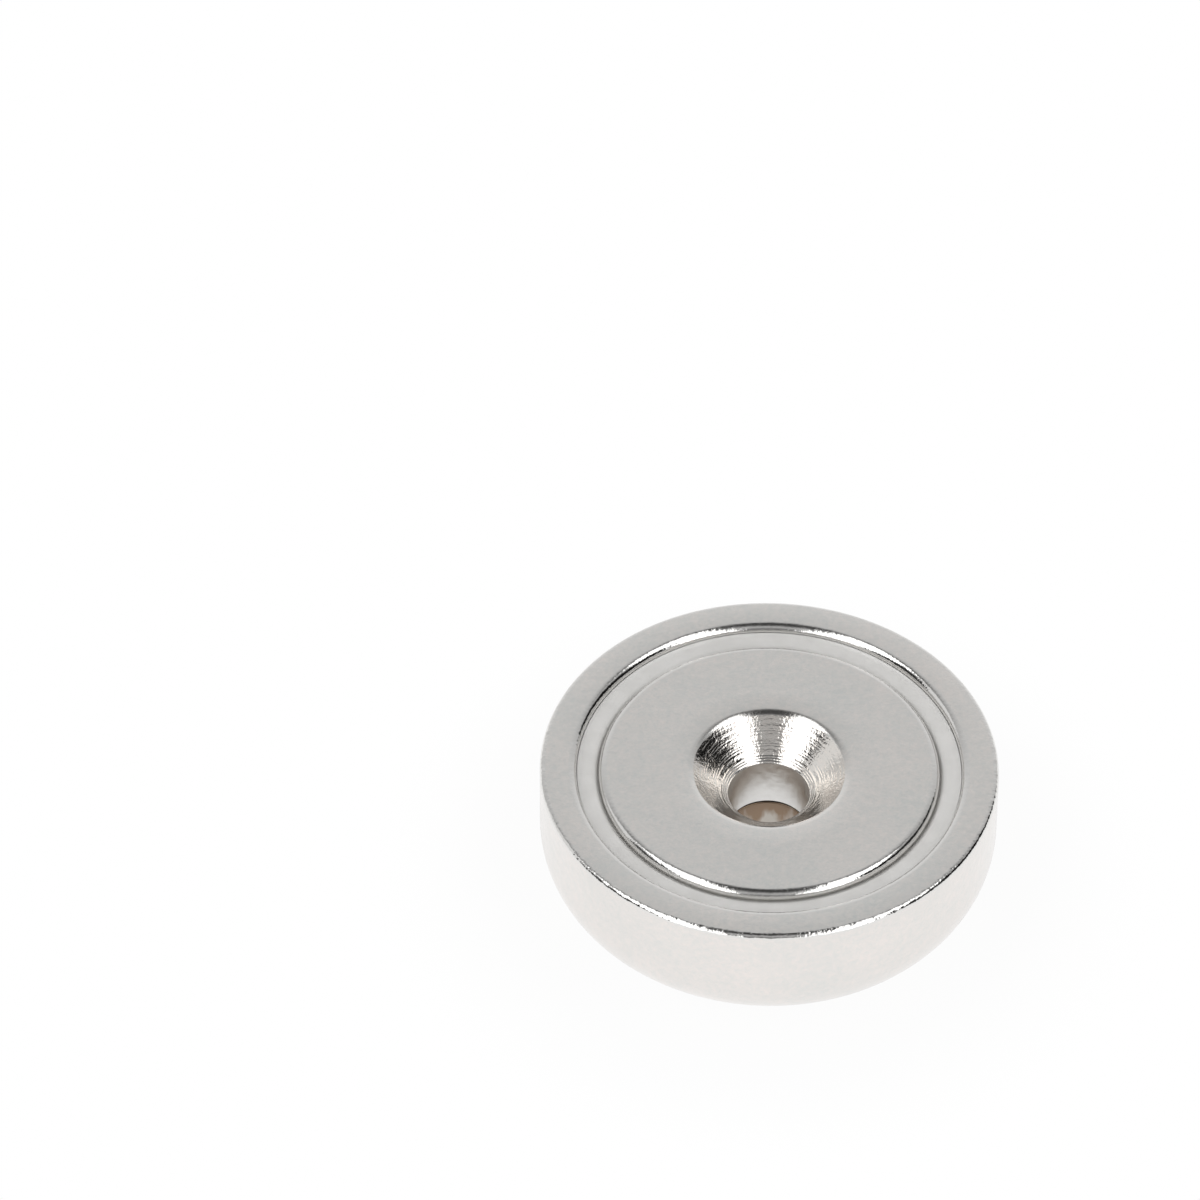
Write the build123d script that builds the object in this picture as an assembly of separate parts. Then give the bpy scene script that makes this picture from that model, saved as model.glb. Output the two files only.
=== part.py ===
from build123d import *
from math import radians, tan
from typing import NamedTuple
import os

# A countersunk pot magnet: a plated ring magnet bonded into a drawn steel cup.
# The cup stands on its closed back at z = 0, with the screw hole along Z.
# The magnet's pulling face looks up. Sizes are in millimetres and degrees.

# Steel cup
cup_diameter = 25.0
cup_height = 8.0
cup_wall = 2.0
cup_floor = 2.7
back_edge_radius = 3.9
rim_outer_radius = 0.3
rim_inner_bevel = 0.3
floor_corner_bevel = 0.5
cup_hole_bevel = 0.2

# Hole for the fixing screw, straight through the magnet and the cup's floor
screw_hole_diameter = 4.4
countersink_diameter = 8.5
countersink_angle = 90.0
countersink_lip_radius = 0.65

# Ring magnet
magnet_side_clearance = 1.2
magnet_recess = 0.15
magnet_edge_bevel = 0.3
magnet_hole_bevel = 0.15

# Resin that bonds the magnet into the cup
glue_film = 0.05
glue_keep_back = 0.8
resin_recess = 0.6
resin_slope_width = 0.35
resin_slope_depth = 0.2

# Radii and heights that follow from the sizes above
cup_radius = cup_diameter / 2
cavity_radius = cup_radius - cup_wall
screw_hole_radius = screw_hole_diameter / 2
magnet_radius = cavity_radius - magnet_side_clearance
magnet_bottom = cup_floor + glue_film
magnet_top = cup_height - magnet_recess
countersink_radius = countersink_diameter / 2
countersink_depth = (countersink_radius - screw_hole_radius) / tan(radians(countersink_angle / 2))
glue_film_radius = screw_hole_radius + glue_keep_back
resin_level = cup_height - resin_recess


class Corner(NamedTuple):
    """A corner of a half section, and the rounding or the bevel that breaks it."""

    radius: float
    height: float
    rounding: float = 0
    bevel: float = 0


def turned(*corners):
    """Join the corners into a half section, break them, and spin it about the screw axis."""
    section = make_face(Polyline(*[(c.radius, c.height) for c in corners], close=True))
    for corner in corners:
        vertex = section.vertices().sort_by_distance((corner.radius, corner.height))[0]
        if corner.rounding:
            section = fillet(vertex, corner.rounding)
        if corner.bevel:
            section = chamfer(vertex, corner.bevel)
    return revolve(Plane.XZ * section, Axis.Z)


def steel_cup():
    """The drawn pot: a thick floor, a generously rounded back edge and a flat rim."""
    return turned(
        Corner(screw_hole_radius, 0, bevel=cup_hole_bevel),
        Corner(cup_radius, 0, rounding=back_edge_radius),
        Corner(cup_radius, cup_height, rounding=rim_outer_radius),
        Corner(cavity_radius, cup_height, bevel=rim_inner_bevel),
        Corner(cavity_radius, cup_floor, bevel=floor_corner_bevel),
        Corner(screw_hole_radius, cup_floor, bevel=cup_hole_bevel),
    )


def ring_magnet():
    """The sintered ring, bonded in just below the rim and countersunk for the screw's head."""
    return turned(
        Corner(screw_hole_radius, magnet_bottom, bevel=magnet_hole_bevel),
        Corner(magnet_radius, magnet_bottom, bevel=magnet_edge_bevel),
        Corner(magnet_radius, magnet_top, bevel=magnet_edge_bevel),
        Corner(countersink_radius, magnet_top, rounding=countersink_lip_radius),
        Corner(screw_hole_radius, magnet_top - countersink_depth),
    )


def resin_fill():
    """The cured resin: a collar that sinks towards the magnet, and a film under it, clear of the hole."""
    return turned(
        Corner(magnet_radius + resin_slope_width, resin_level),
        Corner(magnet_radius, resin_level - resin_slope_depth),
        Corner(magnet_radius, magnet_bottom, bevel=magnet_edge_bevel),
        Corner(glue_film_radius, magnet_bottom),
        Corner(glue_film_radius, cup_floor),
        Corner(cavity_radius, cup_floor, bevel=floor_corner_bevel),
        Corner(cavity_radius, resin_level),
    )


os.makedirs("parts", exist_ok=True)
export_step(steel_cup(), "parts/steel_cup.step")
export_step(ring_magnet(), "parts/ring_magnet.step")
export_step(resin_fill(), "parts/resin_fill.step")
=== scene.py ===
# %% [markdown]
# # A countersunk pot magnet
#
# A pot magnet is three things: a drawn steel cup, a sintered ring magnet dropped into
# it, and the resin that holds the two together. The cup carries the magnetism to its
# rim, so the whole pull comes out of one face. A screw goes through the middle.
#
# The solids of the three pieces are already packed, at their real size. This notebook
# dresses them: it turns finer copies of the pieces, plates them with nickel, lights
# them like a product on a table, and looks down at them through a long lens.
#
# The first cell loads the solids. They are the fixed frame: nothing here moves them.

# %% Load the fixed frame
import math
import random

import bmesh
import bpy
from mathutils import Matrix, Vector


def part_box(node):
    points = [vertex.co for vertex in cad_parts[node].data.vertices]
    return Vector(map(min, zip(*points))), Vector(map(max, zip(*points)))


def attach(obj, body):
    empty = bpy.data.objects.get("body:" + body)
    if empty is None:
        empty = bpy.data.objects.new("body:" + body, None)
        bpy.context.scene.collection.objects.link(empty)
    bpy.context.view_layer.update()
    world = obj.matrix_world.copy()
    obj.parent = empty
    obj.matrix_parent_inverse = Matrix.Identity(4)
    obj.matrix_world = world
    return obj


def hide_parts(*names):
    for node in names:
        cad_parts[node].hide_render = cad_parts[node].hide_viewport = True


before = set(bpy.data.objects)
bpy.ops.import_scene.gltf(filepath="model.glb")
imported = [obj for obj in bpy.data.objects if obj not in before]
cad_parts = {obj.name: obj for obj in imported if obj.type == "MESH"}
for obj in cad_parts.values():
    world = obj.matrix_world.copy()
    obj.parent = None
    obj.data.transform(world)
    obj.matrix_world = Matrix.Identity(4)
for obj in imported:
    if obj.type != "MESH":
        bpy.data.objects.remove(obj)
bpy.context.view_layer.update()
mm = 0.001
print("solids:", ", ".join(sorted(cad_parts)))

# %% [markdown]
# ## Sizes
#
# Every size that the solids hold is read from them, so the dressed pieces fit them
# whatever their size. Each solid is round, so its box gives its radius and its heights,
# and the corner nearest to the axis gives the radius of its hole.

# %% Read the sizes of the three solids
def hole_radius(node):
    """The distance from the screw axis to the nearest corner of a solid."""
    return min(corner.co.xy.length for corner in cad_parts[node].data.vertices)


cup_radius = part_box("steel_cup")[1].x
cup_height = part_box("steel_cup")[1].z
screw_hole_radius = hole_radius("steel_cup")
magnet_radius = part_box("ring_magnet")[1].x
magnet_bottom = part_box("ring_magnet")[0].z
magnet_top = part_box("ring_magnet")[1].z
cavity_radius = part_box("resin_fill")[1].x
cup_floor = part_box("resin_fill")[0].z
resin_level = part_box("resin_fill")[1].z
resin_film_radius = hole_radius("resin_fill")
print(f"cup {cup_radius * 2 / mm:.2f} mm across and {cup_height / mm:.2f} mm high")
print(f"magnet face {(cup_height - magnet_top) / mm:.2f} mm below the rim")

# %% [markdown]
# ## Turning a piece from its half section
#
# All three pieces are bodies of revolution, so the natural way to make them is the
# lathe's way: draw half of the section beside the axis, and spin it once round.
# A subdivision surface on a cylinder would also look round, but it would not keep the
# flat rim flat, and the corners of a turned part have radii that we want to state.
#
# The half section starts as one flat face with sharp corners. Bevelling a corner of a
# flat face by its vertex gives a true arc, and it is far cheaper than bevelling the
# whole circle later. Then the face is dropped, and only its outline is spun.

# %% Draw a half section and round its corners
arc_segments = 6


def half_section(*corners):
    """A flat face beside the axis, from (radius, height) corners."""
    bm = bmesh.new()
    bm.faces.new([bm.verts.new((radius, 0, height)) for radius, height in corners])
    return bm


def corner_at(bm, radius, height):
    """The corner of the section that is nearest to this radius and height."""
    place = Vector((radius, 0, height))
    return min(bm.verts, key=lambda corner: (corner.co - place).length)


def round_corner(bm, radius, height, setback, segments=arc_segments):
    """Replace a sharp corner with an arc that starts this far back along each side."""
    bmesh.ops.bevel(
        bm,
        geom=[corner_at(bm, radius, height)],
        affect="VERTICES",
        offset_type="OFFSET",
        offset=setback,
        segments=segments,
        profile=0.5,
        material=-1,
        clamp_overlap=False,
    )


print("straight lines in an arc, unless a corner asks for more:", arc_segments)

# %% Spin a half section into a piece
turning_steps = 288


def spin_section(bm, name):
    """Spin the outline once round the screw axis and close it into a solid piece."""
    bmesh.ops.delete(bm, geom=list(bm.faces), context="FACES_ONLY")
    bmesh.ops.spin(
        bm,
        geom=list(bm.verts) + list(bm.edges),
        cent=(0, 0, 0),
        axis=(0, 0, 1),
        dvec=(0, 0, 0),
        angle=math.tau,
        steps=turning_steps,
        use_merge=True,
        use_duplicate=False,
    )
    bmesh.ops.remove_doubles(bm, verts=list(bm.verts), dist=0.0001 * mm)
    bmesh.ops.recalc_face_normals(bm, faces=list(bm.faces))
    mesh = bpy.data.meshes.new(name)
    bm.to_mesh(mesh)
    bm.free()
    mesh.shade_smooth()
    piece = bpy.data.objects.new(name, mesh)
    bpy.context.scene.collection.objects.link(piece)
    return piece


print("steps in one turn:", turning_steps)

# %% Shade and measure a finished piece
flat_face_weight = 100


def keep_flats_flat(piece):
    """Let the wide flat faces set the shading, so the small arcs alone look round."""
    shading = piece.modifiers.new("even_shading", "WEIGHTED_NORMAL")
    shading.mode = "FACE_AREA"
    shading.weight = flat_face_weight


def report_piece(piece):
    """Print how large and how fine a finished piece is."""
    size = " x ".join(f"{side / mm:.2f}" for side in piece.dimensions)
    print(f"{piece.name}: {size} mm, {len(piece.data.polygons)} faces")


print("weight of wide faces in the shading:", flat_face_weight)

# %% [markdown]
# ## The steel cup
#
# The cup is drawn from plate. The punch leaves a thick floor and a generous radius
# where the floor turns up into the wall, and the rim is faced flat afterwards, which
# leaves it with small, slightly softened edges. The section has six corners, and each
# gets the arc that the maker's tool leaves there.

# %% Turn the cup
back_edge_radius = 3.9 * mm
rim_outer_radius = 0.29 * mm
rim_inner_radius = 0.43 * mm
floor_corner_radius = 0.5 * mm
cup_hole_edge = 0.2 * mm
cup_hole_inner_edge = 0.06 * mm

section = half_section(
    (screw_hole_radius, 0),
    (cup_radius, 0),
    (cup_radius, cup_height),
    (cavity_radius, cup_height),
    (cavity_radius, cup_floor),
    (screw_hole_radius, cup_floor),
)
round_corner(section, cup_radius, 0, back_edge_radius, segments=32)
round_corner(section, cup_radius, cup_height, rim_outer_radius, segments=8)
round_corner(section, cavity_radius, cup_height, rim_inner_radius, segments=10)
round_corner(section, cavity_radius, cup_floor, floor_corner_radius)
round_corner(section, screw_hole_radius, 0, cup_hole_edge)
round_corner(section, screw_hole_radius, cup_floor, cup_hole_inner_edge)
cup = spin_section(section, "plated_cup")
keep_flats_flat(cup)
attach(cup, "root")
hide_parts("steel_cup")
report_piece(cup)

# %% [markdown]
# ## The ring magnet
#
# A sintered magnet is pressed, ground to size and tumbled, so its edges are round. Its
# hole is countersunk for the head of a flat screw. Tumbling rolls the edge of the
# countersink over into a small lip, and leaves a dish round it that is only a few
# hundredths of a millimetre deep. A mirror shows slope and not depth, so even this
# dish can be seen: it draws the soft crescents beside the countersink.

# %% Sizes of the magnet's edges and its countersink
magnet_edge_radius = 0.45 * mm
magnet_hole_edge = 0.15 * mm
countersink_radius = 4.29 * mm
countersink_depth = 2.0 * mm
countersink_lip_setback = 0.23 * mm
cone_foot_setback = 0.03 * mm
dish_radius = 5.15 * mm
dish_drop = 0.065 * mm
dish_setback = 0.55 * mm
cone_foot = magnet_top - countersink_depth
dish_bottom = magnet_top - dish_drop
print(f"countersink {countersink_radius * 2 / mm:.2f} mm across")

# %% [markdown]
# The cutter left rings in the cone, and they make it sparkle. They could be a bump in
# the plating, but a bump only bends the light: it can't mirror or shade itself, as real
# rings do. So they are cut into the section. Near the foot of the cone, where the tip
# of the cutter rubbed, they are deep and even. Higher up they are left to chance.

# %% How deep a ring is
ring_depth = 0.014 * mm
rubbed_share = 0.4
faint_ring = 0.1
rubbed_ring = 0.8
chance_ring = 0.6


def ring_strength(radius, chance):
    """How deep a ring is at this radius, as a share of the ring depth."""
    rise = (radius - screw_hole_radius) / (countersink_radius - screw_hole_radius)
    rub = max(1 - rise / rubbed_share, 0)
    return faint_ring + rubbed_ring * rub + chance_ring * (1 - rub) * chance


print(f"rings up to {ring_depth / mm:.3f} mm deep")

# %% [markdown]
# The cone is one line of the section. It is divided many times, and each new corner is
# moved along the cone's own normal by a sine. The sine wavers, since a cutter's feed is
# never quite even, and it fades out at both ends so that no corner is left there.

# %% Cut rings into the cone
ring_pitch = 0.21 * mm
corners_per_ring = 9
pitch_waver = 0.35
waver_rate = 1.7
fade_power = 0.25
chance_power = 3
chatter_seed = 7


def cone_line(bm):
    """The longest line of the section that slopes."""
    sloping = [e for e in bm.edges if abs(e.verts[0].co.x - e.verts[1].co.x) > ring_pitch
               and abs(e.verts[0].co.z - e.verts[1].co.z) > ring_pitch]
    return max(sloping, key=lambda line: line.calc_length())


def cut_rings(bm):
    """Divide the cone's line and ripple it, and tell how many corners were cut."""
    cone = cone_line(bm)
    start = cone.verts[0].co.copy()
    along = (cone.verts[1].co - start).normalized()
    outward = Vector((-along.z, 0, along.x))
    length = cone.calc_length()
    cuts = round(length / ring_pitch * corners_per_ring)
    made = bmesh.ops.subdivide_edges(bm, edges=[cone], cuts=cuts)
    chatter = random.Random(chatter_seed)
    chances = [chatter.random() ** chance_power for _ in range(cuts)]
    for corner in [part for part in made["geom_inner"] if isinstance(part, bmesh.types.BMVert)]:
        travel = (corner.co - start).length
        turn = travel / ring_pitch
        turn += pitch_waver * (1 + math.sin(waver_rate * turn))
        fade = math.sin(math.pi * travel / length) ** fade_power
        depth = ring_depth * fade * ring_strength(corner.co.x, chances[int(turn)])
        corner.co += outward * depth * math.sin(math.tau * turn)
    return cuts


print(f"rings every {ring_pitch / mm:.2f} mm")

# %% Turn the magnet
section = half_section(
    (screw_hole_radius, magnet_bottom),
    (magnet_radius, magnet_bottom),
    (magnet_radius, magnet_top),
    (dish_radius, magnet_top),
    (countersink_radius, dish_bottom),
    (screw_hole_radius, cone_foot),
)
round_corner(section, screw_hole_radius, magnet_bottom, magnet_hole_edge)
round_corner(section, magnet_radius, magnet_bottom, magnet_edge_radius)
round_corner(section, magnet_radius, magnet_top, magnet_edge_radius, segments=12)
round_corner(section, dish_radius, magnet_top, dish_setback, segments=8)
round_corner(section, countersink_radius, dish_bottom, countersink_lip_setback, segments=10)
round_corner(section, screw_hole_radius, cone_foot, cone_foot_setback, segments=4)
cone_cuts = cut_rings(section)
magnet = spin_section(section, "plated_magnet")
keep_flats_flat(magnet)
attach(magnet, "root")
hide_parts("ring_magnet")
report_piece(magnet)
print("corners cut into the cone:", cone_cuts)

# %% [markdown]
# ## The resin
#
# The resin is poured round the magnet. It climbs the cup's wall in a thin meniscus, and
# as it cures it sinks a little towards the magnet. Under the magnet it runs on as a
# film, which stops short of the screw hole.
#
# The slope towards the magnet is a line of the section. For the meniscus the level line
# beside it is divided, and each new corner is lifted by a steep power of its distance,
# so that the middle stays level and only the last stretch climbs. Only the longest
# level line is divided: cutting two sides of one face would join them across it.

# %% Lift the resin at the cup's wall
resin_slope_width = 0.35 * mm
resin_slope_depth = 0.1 * mm
slope_softening = 0.1 * mm
slope_top_radius = magnet_radius + resin_slope_width
meniscus_climb = 0.17 * mm
meniscus_cuts = 11
meniscus_power = 4


def is_level(corner):
    """Whether a corner lies at the resin's level."""
    return abs(corner.co.z - resin_level) < 0.001 * mm


def lift_meniscus(bm):
    """Divide the level line of the section and let it climb at the cup's wall."""
    level_lines = [e for e in bm.edges if is_level(e.verts[0]) and is_level(e.verts[1])]
    top = max(level_lines, key=lambda line: line.calc_length())
    bmesh.ops.subdivide_edges(bm, edges=[top], cuts=meniscus_cuts)
    for corner in filter(is_level, bm.verts):
        share = (corner.co.x - slope_top_radius) / (cavity_radius - slope_top_radius)
        corner.co.z += meniscus_climb * max(share, 0) ** meniscus_power


print(f"the resin climbs {meniscus_climb / mm:.2f} mm and sinks {resin_slope_depth / mm:.2f} mm")

# %% Cast the resin
section = half_section(
    (magnet_radius, magnet_bottom),
    (resin_film_radius, magnet_bottom),
    (resin_film_radius, cup_floor),
    (cavity_radius, cup_floor),
    (cavity_radius, resin_level),
    (slope_top_radius, resin_level),
    (magnet_radius, resin_level - resin_slope_depth),
)
round_corner(section, cavity_radius, cup_floor, floor_corner_radius)
round_corner(section, magnet_radius, magnet_bottom, magnet_edge_radius)
round_corner(section, slope_top_radius, resin_level, slope_softening)
lift_meniscus(section)
resin = spin_section(section, "cured_resin")
keep_flats_flat(resin)
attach(resin, "root")
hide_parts("resin_fill")
report_piece(resin)

# %% [markdown]
# ## Nickel plate
#
# Bright nickel is a mirror that is a little warm and a little soft. What tells one
# surface from another is the work that was done on the metal below it. The flat faces
# were ground, so they are nearly even. The edges were tumbled, which leaves fine dents,
# and there a reflection breaks into specks. The cone was turned, so its marks are drawn
# out along the turning.
#
# Each of these is the same shader with another grain, so one function makes them all.
# The grain is a bump: dents a fifth of a millimetre wide are too small to be worth faces.
# The first cell makes the materials, and the next four wire up their patterns.

# %% New materials
def empty_material(name):
    """A material with only an output in its node tree."""
    material = bpy.data.materials.new(name)
    material.use_nodes = True
    tree = material.node_tree
    tree.nodes.clear()
    return material, tree, tree.nodes.new("ShaderNodeOutputMaterial")


def new_finish(name):
    """A material with one Principled shader, ready for its patterns."""
    material, tree, output = empty_material(name)
    shader = tree.nodes.new("ShaderNodeBsdfPrincipled")
    tree.links.new(shader.outputs["BSDF"], output.inputs["Surface"])
    return material, tree, shader


print("a finish starts as one Principled shader")

# %% Arithmetic in a node tree
def add_math(tree, operation, first, second=0):
    """One step of arithmetic on two values, each a socket or a plain number."""
    step = tree.nodes.new("ShaderNodeMath")
    step.operation = operation
    for socket, value in zip(step.inputs, (first, second)):
        if isinstance(value, bpy.types.NodeSocket):
            tree.links.new(value, socket)
        else:
            socket.default_value = value
    return step.outputs["Value"]


def add_vector_math(tree, operation, first, second=None):
    """One step of arithmetic on a vector, with another vector, a scale or nothing."""
    step = tree.nodes.new("ShaderNodeVectorMath")
    step.operation = operation
    tree.links.new(first, step.inputs[0])
    if isinstance(second, bpy.types.NodeSocket):
        tree.links.new(second, step.inputs[1])
    elif operation == "SCALE":
        step.inputs["Scale"].default_value = second
    elif second:
        step.inputs[1].default_value = second
    return step.outputs["Value" if operation == "LENGTH" else "Vector"]


print("numbers and vectors can be joined by", add_math.__name__, "and", add_vector_math.__name__)

# %% Ranges
noise_low = 0.3
noise_high = 0.7


def add_range(tree, value, low, high, start=noise_low, end=noise_high, smooth=False):
    """Carry a value to another range, by default from the range of a noise pattern."""
    spread = tree.nodes.new("ShaderNodeMapRange")
    spread.interpolation_type = "SMOOTHSTEP" if smooth else "LINEAR"
    spread.inputs["From Min"].default_value = start
    spread.inputs["From Max"].default_value = end
    spread.inputs["To Min"].default_value = low
    spread.inputs["To Max"].default_value = high
    tree.links.new(value, spread.inputs["Value"])
    return spread.outputs["Result"]


print(f"a noise pattern is read from {noise_low} to {noise_high}")

# %% Noise and tints
tint_start = 0.35
tint_end = 0.65


def piece_place(tree):
    """A piece's own coordinates, in metres."""
    return tree.nodes.new("ShaderNodeTexCoord").outputs["Object"]


def add_noise(tree, place, scale=1.0, detail=2.0, roughness=0.5):
    """A noise pattern, as a value from 0 to 1."""
    noise = tree.nodes.new("ShaderNodeTexNoise")
    noise.inputs["Scale"].default_value = scale
    noise.inputs["Detail"].default_value = detail
    noise.inputs["Roughness"].default_value = roughness
    tree.links.new(place, noise.inputs["Vector"])
    return noise.outputs["Fac"]


def add_tint(tree, value, first, second):
    """A colour that drifts between two tints with a pattern."""
    ramp = tree.nodes.new("ShaderNodeValToRGB")
    ramp.color_ramp.elements[0].position = tint_start
    ramp.color_ramp.elements[0].color = (*first, 1)
    ramp.color_ramp.elements[1].position = tint_end
    ramp.color_ramp.elements[1].color = (*second, 1)
    tree.links.new(value, ramp.inputs["Fac"])
    return ramp.outputs["Color"]


print(f"tints blend from {tint_start} to {tint_end} of a pattern")

# %% Bumps
def add_bump(tree, height, depth, under=None):
    """A bump of this depth in metres, laid over another bump if one is given."""
    bump = tree.nodes.new("ShaderNodeBump")
    bump.inputs["Strength"].default_value = 1.0
    bump.inputs["Distance"].default_value = depth
    tree.links.new(height, bump.inputs["Height"])
    if under:
        tree.links.new(under, bump.inputs["Normal"])
    return bump.outputs["Normal"]


print("bumps can be laid one over another")

# %% [markdown]
# Turned marks run round the axis. A noise on the plain coordinates can't follow them,
# and one on the angle would show a seam where the angle starts again. So the pattern
# gets its own place: the direction from the axis, as a point on a circle, and the
# distance from the axis. With few marks in a turn and many in a millimetre, each mark
# is long and thin.

# %% Marks that follow the turning
marks_per_turn = 24
marks_per_metre = 11000


def turned_place(tree):
    """Coordinates that run round the axis and out from it, with no seam."""
    flat = add_vector_math(tree, "MULTIPLY", piece_place(tree), (1, 1, 0))
    direction = add_vector_math(tree, "NORMALIZE", flat)
    circle = add_vector_math(tree, "SCALE", direction, marks_per_turn / math.tau)
    outward = tree.nodes.new("ShaderNodeCombineXYZ")
    tree.links.new(add_vector_math(tree, "LENGTH", flat), outward.inputs["Z"])
    marks_outward = add_vector_math(tree, "SCALE", outward.outputs["Vector"], marks_per_metre)
    return add_vector_math(tree, "ADD", circle, marks_outward)


print("turned marks in one turn:", marks_per_turn)

# %% [markdown]
# The plating itself has four layers. Slow clouds move its tint and its roughness, and
# a fine mottle breaks the tint up, as handling does. A ripple less than a millimetre
# wide bends the reflections a little, and the dents lie on top of it. On the cone the
# turned marks lie between the two.

# %% The plating
clouds_per_metre = 220
mottle_per_metre = 2600
mottle_share = 0.7
ripples_per_metre = 1400


def nickel(name, first, second, roughness, grain, grain_depth, ripple_depth, turned_depth=None):
    """Nickel plate: two close tints, a soft mirror, a fine grain and a slow ripple."""
    material, tree, shader = new_finish(name)
    place = piece_place(tree)
    clouds = add_noise(tree, place, scale=clouds_per_metre, detail=3.0)
    mottle = add_noise(tree, place, scale=mottle_per_metre, detail=4.0, roughness=0.85)
    drift = add_math(tree, "MULTIPLY", add_math(tree, "SUBTRACT", mottle, clouds), mottle_share)
    drift = add_math(tree, "ADD", drift, clouds)
    tree.links.new(add_tint(tree, drift, first, second), shader.inputs["Base Color"])
    tree.links.new(add_range(tree, clouds, *roughness), shader.inputs["Roughness"])
    skin = add_bump(tree, add_noise(tree, place, scale=ripples_per_metre, detail=1.0), ripple_depth)
    if turned_depth:
        marks = add_noise(tree, turned_place(tree), detail=2.0, roughness=0.6)
        skin = add_bump(tree, marks, turned_depth, under=skin)
    dents = add_range(tree, add_noise(tree, place, scale=grain, detail=1.5, roughness=0.6), 0, 1)
    tree.links.new(add_bump(tree, dents, grain_depth, under=skin), shader.inputs["Normal"])
    shader.inputs["Metallic"].default_value = 1.0
    return material


print("the mottle counts for", mottle_share, "of the tint")

# %% Nickel on flat, drawn and bored metal
ground_nickel = nickel(
    "ground_nickel",
    first=(0.86, 0.82, 0.79),
    second=(0.74, 0.75, 0.735),
    roughness=(0.14, 0.2),
    grain=6500,
    grain_depth=0.002 * mm,
    ripple_depth=0.008 * mm,
)
drawn_nickel = nickel(
    "drawn_nickel",
    first=(0.86, 0.81, 0.78),
    second=(0.77, 0.765, 0.745),
    roughness=(0.14, 0.24),
    grain=5000,
    grain_depth=0.002 * mm,
    ripple_depth=0.03 * mm,
)
bore_nickel = nickel(
    "bore_nickel",
    first=(0.83, 0.82, 0.80),
    second=(0.80, 0.79, 0.775),
    roughness=(0.28, 0.36),
    grain=5000,
    grain_depth=0.003 * mm,
    ripple_depth=0.03 * mm,
)
print("finishes:", ground_nickel.name, drawn_nickel.name, bore_nickel.name)

# %% Nickel on edges and on the cone
tumbled_nickel = nickel(
    "tumbled_nickel",
    first=(0.80, 0.785, 0.765),
    second=(0.78, 0.775, 0.76),
    roughness=(0.1, 0.18),
    grain=4200,
    grain_depth=0.012 * mm,
    ripple_depth=0.04 * mm,
)
faced_edge_nickel = nickel(
    "faced_edge_nickel",
    first=(0.80, 0.785, 0.765),
    second=(0.78, 0.775, 0.76),
    roughness=(0.1, 0.16),
    grain=5200,
    grain_depth=0.0045 * mm,
    ripple_depth=0.014 * mm,
    turned_depth=0.004 * mm,
)
turned_nickel = nickel(
    "turned_nickel",
    first=(0.85, 0.80, 0.755),
    second=(0.80, 0.785, 0.75),
    roughness=(0.12, 0.18),
    grain=6000,
    grain_depth=0.0075 * mm,
    ripple_depth=0.006 * mm,
    turned_depth=0.0115 * mm,
)
print("finishes:", tumbled_nickel.name, faced_edge_nickel.name, turned_nickel.name)

# %% [markdown]
# ## The bare hole
#
# The plating bath hardly reaches into the cup's narrow hole, so the steel there has gone brown. Streaks
# run down the hole in patches. They are a noise that is stretched along the axis. The height is added to
# it as painted shade, which makes the colour darker and browner towards the magnet, deep in the hole.

# %% The steel in the cup's hole
streaks_per_metre = (1100, 1100, 450)
# where the painted shade in the hole starts, and how far it moves the tint at the bottom and at the top
shade_start = 0.2 * cup_floor
shade_low = -0.32
shade_high = 0.36


def stained_and_shaded_steel(name):
    """Steel that the plating missed: brown, with streaks that run down the hole, and painted shade that
    darkens it towards the top.
    """
    material, tree, shader = new_finish(name)
    place = piece_place(tree)
    stretched = add_vector_math(tree, "MULTIPLY", place, streaks_per_metre)
    streaks = add_range(tree, add_noise(tree, stretched, detail=3.0), 0.2, 0.8)
    height = tree.nodes.new("ShaderNodeSeparateXYZ")
    tree.links.new(place, height.inputs["Vector"])
    # painted shade: the tint grows darker and browner with height, towards the magnet; the streaks alone
    # are stains
    rise = add_range(tree, height.outputs["Z"], shade_low, shade_high, start=shade_start, end=cup_floor)
    stain_and_shade = add_math(tree, "ADD", streaks, rise)
    tint = add_tint(tree, stain_and_shade, (0.52, 0.485, 0.44), (0.29, 0.21, 0.15))
    tree.links.new(tint, shader.inputs["Base Color"])
    tree.links.new(add_bump(tree, streaks, depth=0.004 * mm), shader.inputs["Normal"])
    shader.inputs["Metallic"].default_value = 1.0
    shader.inputs["Roughness"].default_value = 0.35
    return material


shaded_bare_steel = stained_and_shaded_steel("shaded_bare_steel")
# the painted shade in the hole starts at this height
print(f"stains start {shade_start / mm:.2f} mm above the back")

# %% [markdown]
# ## Dressing the faces
#
# The pieces are round, so where a face lies is told by its distance from the axis, its
# height, and its slope: how far its normal points up, from 0 on an upright face to 1 on
# a level one. A small test for each region picks its faces, and where two regions
# overlap, the later finish is the one that stays.

# %% Give a finish to chosen faces
upright_slope = 0.01
level_slope = 0.9999


def finish_faces(piece, material, picks):
    """Give a finish to the faces that a test picks by radius, height and slope."""
    piece.data.materials.append(material)
    index = len(piece.data.materials) - 1
    picked = [f for f in piece.data.polygons if picks(f.center.xy.length, f.center.z, f.normal.z)]
    for face in picked:
        face.material_index = index
    print(f"{material.name}: {len(picked)} faces of {piece.name}")


def everywhere(radius, height, slope):
    """Every face of the piece."""
    return True


print("a face counts as round between slopes of", upright_slope, "and", level_slope)

# %% Dress the cup
edge_band = 0.5 * mm
cup_hole_reach = 1.2 * screw_hole_radius


def drawn_wall(radius, height, slope):
    """The cup's wall and its round back edge, up to the rim."""
    return radius > cup_radius / 2 and height < cup_height - edge_band


def rim_edge(radius, height, slope):
    """The two round edges of the rim."""
    return height > cup_height - edge_band and upright_slope < slope < level_slope


def rim_inner_edge(radius, height, slope):
    """The rim's round edge beside the resin."""
    return rim_edge(radius, height, slope) and radius < cup_radius - edge_band


def cup_hole(radius, height, slope):
    """The hole through the cup's floor, with its edges."""
    return radius < cup_hole_reach


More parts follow.
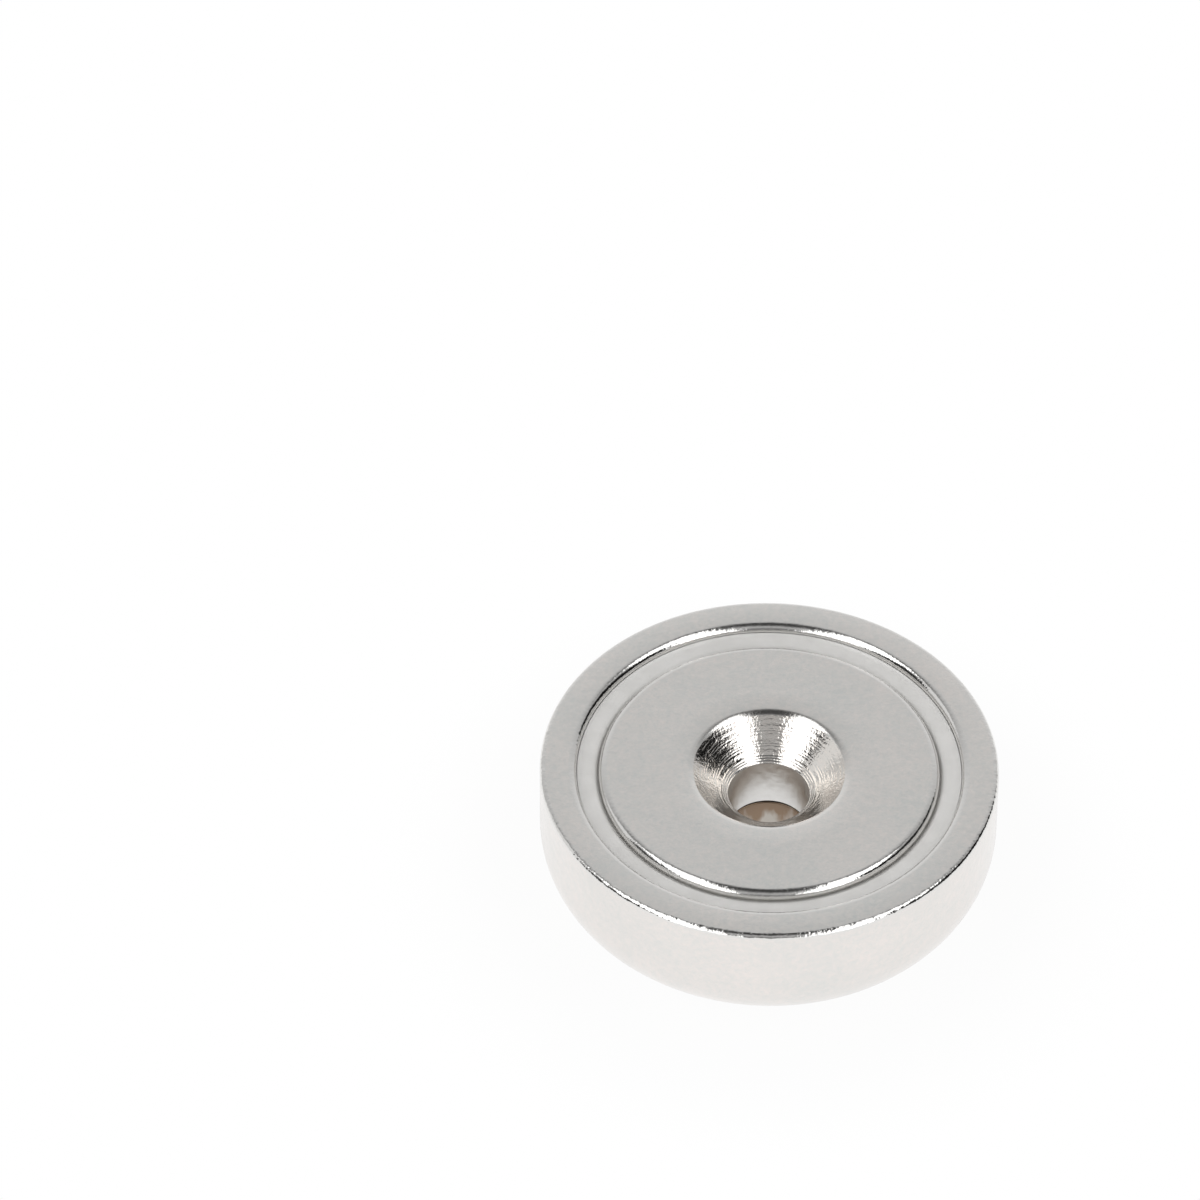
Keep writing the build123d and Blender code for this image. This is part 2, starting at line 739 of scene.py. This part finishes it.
finish_faces(cup, ground_nickel, everywhere)
finish_faces(cup, drawn_nickel, drawn_wall)
finish_faces(cup, tumbled_nickel, rim_edge)
finish_faces(cup, faced_edge_nickel, rim_inner_edge)
finish_faces(cup, shaded_bare_steel, cup_hole)

# %% Dress the magnet
lip_slope = 0.8
magnet_bore_reach = 1.01 * screw_hole_radius


def magnet_edge(radius, height, slope):
    """The magnet's side and its round outer edges."""
    return radius > magnet_radius - edge_band


def countersink_cone(radius, height, slope):
    """The turned cone, up to its lip."""
    return radius < countersink_radius and upright_slope < slope < lip_slope


def magnet_bore(radius, height, slope):
    """The straight part of the magnet's hole."""
    return radius < magnet_bore_reach


finish_faces(magnet, ground_nickel, everywhere)
finish_faces(magnet, faced_edge_nickel, magnet_edge)
finish_faces(magnet, turned_nickel, countersink_cone)
finish_faces(magnet, bore_nickel, magnet_bore)

# %% [markdown]
# ## Cured resin
#
# The resin is a pale grey plastic with a shiny, slightly wavy skin. A little light goes
# in and comes out again close by, so the shader has a small share of subsurface light.
# The gloss is a thin coat over it, as on any resin that cured in the open.

# %% The resin's finish
haze_per_metre = 900
waves_per_metre = 1800


def cast_resin(name):
    """A pale grey casting resin with a soft gloss."""
    material, tree, shader = new_finish(name)
    place = piece_place(tree)
    haze = add_noise(tree, place, scale=haze_per_metre, detail=3.0)
    tint = add_tint(tree, haze, (0.785, 0.775, 0.755), (0.835, 0.825, 0.805))
    tree.links.new(tint, shader.inputs["Base Color"])
    waves = add_noise(tree, place, scale=waves_per_metre, detail=2.0)
    tree.links.new(add_bump(tree, waves, depth=0.02 * mm), shader.inputs["Normal"])
    shader.inputs["Roughness"].default_value = 0.22
    shader.inputs["Coat Weight"].default_value = 0.4
    shader.inputs["Coat Roughness"].default_value = 0.12
    shader.inputs["Subsurface Weight"].default_value = 0.25
    shader.inputs["Subsurface Radius"].default_value = (1, 1, 1)
    shader.inputs["Subsurface Scale"].default_value = 0.12 * mm
    return material


resin.data.materials.append(cast_resin("cured_resin"))
print("finish of the resin:", resin.data.materials[0].name)

# %% [markdown]
# ## The table
#
# The table is white and plain. It is meant to vanish in the picture, and yet the
# cup's wall mirrors it and its foot should touch it. So to the camera, and in
# reflections, most of its white comes from a plain white emission, and near the foot a
# share stays an ordinary lit surface that can hold a soft shadow. Below the screw hole
# the white fades towards the hole's edge, where the cup stands in its own light.

# %% The table's white
table_gap = 0.01 * mm
shadow_share = 0.06
shadow_reach = 1.8 * cup_radius
hole_light_middle = 1.0
hole_light_edge = 0.85


def white_share(tree):
    """How much of the table is plain white: all for the eye and mirrors, less near the foot."""
    seen = tree.nodes.new("ShaderNodeLightPath")
    looked_at = add_math(tree, "ADD", seen.outputs["Is Camera Ray"], seen.outputs["Is Glossy Ray"])
    looked_at = add_math(tree, "ADD", looked_at, seen.outputs["Is Transmission Ray"])
    reach = add_vector_math(tree, "LENGTH", piece_place(tree))
    clear = add_range(tree, reach, 1 - shadow_share, 1, start=cup_radius, end=shadow_reach, smooth=True)
    in_hole = add_range(tree, reach, hole_light_middle, hole_light_edge,
                        start=0, end=screw_hole_radius, smooth=True)
    outside_hole = add_math(tree, "GREATER_THAN", reach, 2 * screw_hole_radius)
    hole_light = add_math(tree, "MAXIMUM", outside_hole, in_hole)
    return add_math(tree, "MULTIPLY", add_math(tree, "MULTIPLY", looked_at, clear), hole_light)


def table_white(name):
    """Plain white over a lit surface that can hold a shadow."""
    material, tree, output = empty_material(name)
    lit = tree.nodes.new("ShaderNodeBsdfDiffuse")
    lit.inputs["Color"].default_value = (0.9, 0.9, 0.9, 1)
    white = tree.nodes.new("ShaderNodeEmission")
    mix = tree.nodes.new("ShaderNodeMixShader")
    tree.links.new(white_share(tree), mix.inputs["Fac"])
    tree.links.new(lit.outputs["BSDF"], mix.inputs[1])
    tree.links.new(white.outputs["Emission"], mix.inputs[2])
    tree.links.new(mix.outputs["Shader"], output.inputs["Surface"])
    return material


table_top = table_white("table_top")
print(f"the shadow may reach {shadow_reach / mm:.1f} mm")

# %% Lay the table
table_half_width = 2.0


def new_card(name, corners, material):
    """A flat card of the studio, from its four corners."""
    bm = bmesh.new()
    bm.faces.new([bm.verts.new(corner) for corner in corners])
    mesh = bpy.data.meshes.new(name)
    bm.to_mesh(mesh)
    bm.free()
    mesh.materials.append(material)
    card = bpy.data.objects.new(name, mesh)
    bpy.context.scene.collection.objects.link(card)
    return card


table_corners = [(x * table_half_width, y * table_half_width, -table_gap)
                 for x, y in ((-1, -1), (1, -1), (1, 1), (-1, 1))]
new_card("table", table_corners, table_top)
print("table laid,", 2 * table_half_width, "m wide")

# %% [markdown]
# ## The studio
#
# A mirror is lit by what stands round it. Two long softboxes lean over the table from
# the front like the halves of a roof, with a dark gap between them through which the
# camera looks down. They make the broad white sweeps. A dark card at each side cuts the
# sweeps off and gives the metal its contrast, and a pale card fills the left.
#
# All of it is set out in units of one studio size, and the magnet is so small in it
# that only directions matter.

# %% Hang the softboxes
studio = 0.5
softbox_inner_edge = 0.25 * studio
softbox_outer_edge = 0.95 * studio
softbox_top = Vector((0, 0.18 * studio, 1.12 * studio))
softbox_foot = Vector((0, -1.09 * studio, 0))
softbox_brightness = 1.6


def hang_softbox(name, side):
    """A rectangular area lamp between its foot on the table and its top overhead."""
    lamp = bpy.data.lights.new(name, "AREA")
    lamp.shape = "RECTANGLE"
    lamp.size = softbox_outer_edge - softbox_inner_edge
    lamp.size_y = (softbox_top - softbox_foot).length
    lamp.energy = softbox_brightness * math.pi * lamp.size * lamp.size_y
    softbox = bpy.data.objects.new(name, lamp)
    middle = (softbox_top + softbox_foot) / 2
    softbox.location = (side * (softbox_inner_edge + softbox_outer_edge) / 2, middle.y, middle.z)
    lean = math.atan2(softbox_top.z - softbox_foot.z, softbox_top.y - softbox_foot.y)
    softbox.rotation_euler = (lean, 0, 0)
    softbox.visible_camera = False
    bpy.context.scene.collection.objects.link(softbox)
    print(f"{name}: {lamp.size:.2f} x {lamp.size_y:.2f} m, {lamp.energy:.2f} W")


hang_softbox("left_softbox", -1)
hang_softbox("right_softbox", 1)

# %% Stand the cards
def card_finish(name, grey):
    """An even card that gives off a steady grey."""
    material, tree, output = empty_material(name)
    glow = tree.nodes.new("ShaderNodeEmission")
    glow.inputs["Color"].default_value = (grey, grey, grey, 1)
    tree.links.new(glow.outputs["Emission"], output.inputs["Surface"])
    return material


def stand_card(name, across, near, far, near_height, far_height, grey):
    """An upright card at one side of the table, with a top that slopes from near to far."""
    corners = [(across, near, 0), (across, far, 0), (across, far, far_height), (across, near, near_height)]
    corners = [Vector(corner) * studio for corner in corners]
    card = new_card(name, corners, card_finish(name, grey))
    card.visible_camera = False
    print(f"{name}: at x = {across * studio:.2f} m, grey {grey}")


stand_card("right_dark_card", 0.68, near=-0.5, far=0.42, near_height=0.62, far_height=0.34, grey=0.004)
stand_card("left_dark_card", -0.96, near=-0.9, far=-0.03, near_height=0.66, far_height=0.62, grey=0.03)
stand_card("left_pale_card", -0.97, near=0.0, far=0.52, near_height=1.1, far_height=0.45, grey=0.8)

# %% [markdown]
# ## The room
#
# The rest of what the metal mirrors is the room. Its grey changes from front to back
# only: a middle grey in front, round the camera, nearly black overhead, and pale behind
# the table, where the flat faces look. The side walls are an even grey. To the camera
# itself the room is plain white.

# %% The room's grey from front to back
room_greys = {
    -1.0: 0.16, -0.9: 0.3, -0.8: 0.45, -0.66: 0.45, -0.5: 0.2, -0.3: 0.05,
    0.1: 0.045, 0.28: 0.22, 0.42: 0.48, 0.68: 0.635, 0.88: 0.8,
}


def room_depth_grey(tree, toward_back):
    """The room's grey from its front, at -1, to its back, at 1."""
    ramp = tree.nodes.new("ShaderNodeValToRGB")
    elements = ramp.color_ramp.elements
    while len(elements) < len(room_greys):
        elements.new(0.5)
    for element, (place, grey) in zip(elements, room_greys.items()):
        element.position = (place + 1) / 2
        element.color = (grey, grey, grey, 1)
    tree.links.new(add_range(tree, toward_back, 0, 1, start=-1, end=1), ramp.inputs["Fac"])
    return ramp.outputs["Color"]


print("greys from front to back:", list(room_greys.values()))

# %% Paint the room
side_wall_grey = 0.4
side_wall_start = 0.45
side_wall_end = 0.7


def paint_room(name):
    """A world that is white to the camera and a soft grey studio to everything else."""
    world = bpy.data.worlds.new(name)
    bpy.context.scene.world = world
    world.use_nodes = True
    tree = world.node_tree
    tree.nodes.clear()
    output = tree.nodes.new("ShaderNodeOutputWorld")
    direction = tree.nodes.new("ShaderNodeTexCoord")
    split = tree.nodes.new("ShaderNodeSeparateXYZ")
    tree.links.new(direction.outputs["Generated"], split.inputs["Vector"])
    aside = add_math(tree, "ABSOLUTE", split.outputs["X"])
    sides = add_range(tree, aside, 0, side_wall_grey, start=side_wall_start, end=side_wall_end)
    walls = add_math(tree, "MAXIMUM", room_depth_grey(tree, split.outputs["Y"]), sides)
    seen = tree.nodes.new("ShaderNodeLightPath")
    room = tree.nodes.new("ShaderNodeBackground")
    white = tree.nodes.new("ShaderNodeBackground")
    white.inputs["Color"].default_value = (1, 1, 1, 1)
    mix = tree.nodes.new("ShaderNodeMixShader")
    tree.links.new(walls, room.inputs["Color"])
    tree.links.new(seen.outputs["Is Camera Ray"], mix.inputs["Fac"])
    tree.links.new(room.outputs["Background"], mix.inputs[1])
    tree.links.new(white.outputs["Background"], mix.inputs[2])
    tree.links.new(mix.outputs["Shader"], output.inputs["Surface"])


paint_room("room")
bpy.context.scene.view_settings.view_transform = "Standard"
print("side walls from", side_wall_start, "to", side_wall_end, "in grey", side_wall_grey)

# %% [markdown]
# ## The camera
#
# The lens is long and looks down at about 46 degrees. It is given in pixels: that is how
# wide a thing looks when it is as wide as it is far away. The picture is square, and
# the middle of the magnet's back is to land at a chosen place, low and to the right.
# From that pixel and the distance to the back follows where the camera stands.

# %% Place the camera
picture_width = 1200
lens_pixels = 9052.4
sensor_width = 36.0
base_pixel = Vector((767.0, 865.0))
viewing_depth = 0.4984
look_down = math.radians(45.9)
camera_roll = math.radians(0.246)

camera_data = bpy.data.cameras.new("camera")
camera_data.sensor_width = sensor_width
camera_data.lens = lens_pixels * sensor_width / picture_width
camera = bpy.data.objects.new("camera", camera_data)
turn = Matrix.Rotation(math.pi / 2 - look_down, 4, "X") @ Matrix.Rotation(camera_roll, 4, "Z")
offset = (base_pixel - Vector((picture_width, picture_width)) / 2) / lens_pixels * viewing_depth
base_seen = Vector((offset.x, -offset.y, -viewing_depth))
camera.matrix_world = Matrix.Translation(-(turn.to_3x3() @ base_seen)) @ turn
bpy.context.scene.collection.objects.link(camera)
bpy.context.scene.camera = camera
print("camera at", [round(c, 4) for c in camera.location], "lens", round(camera_data.lens, 1), "mm")
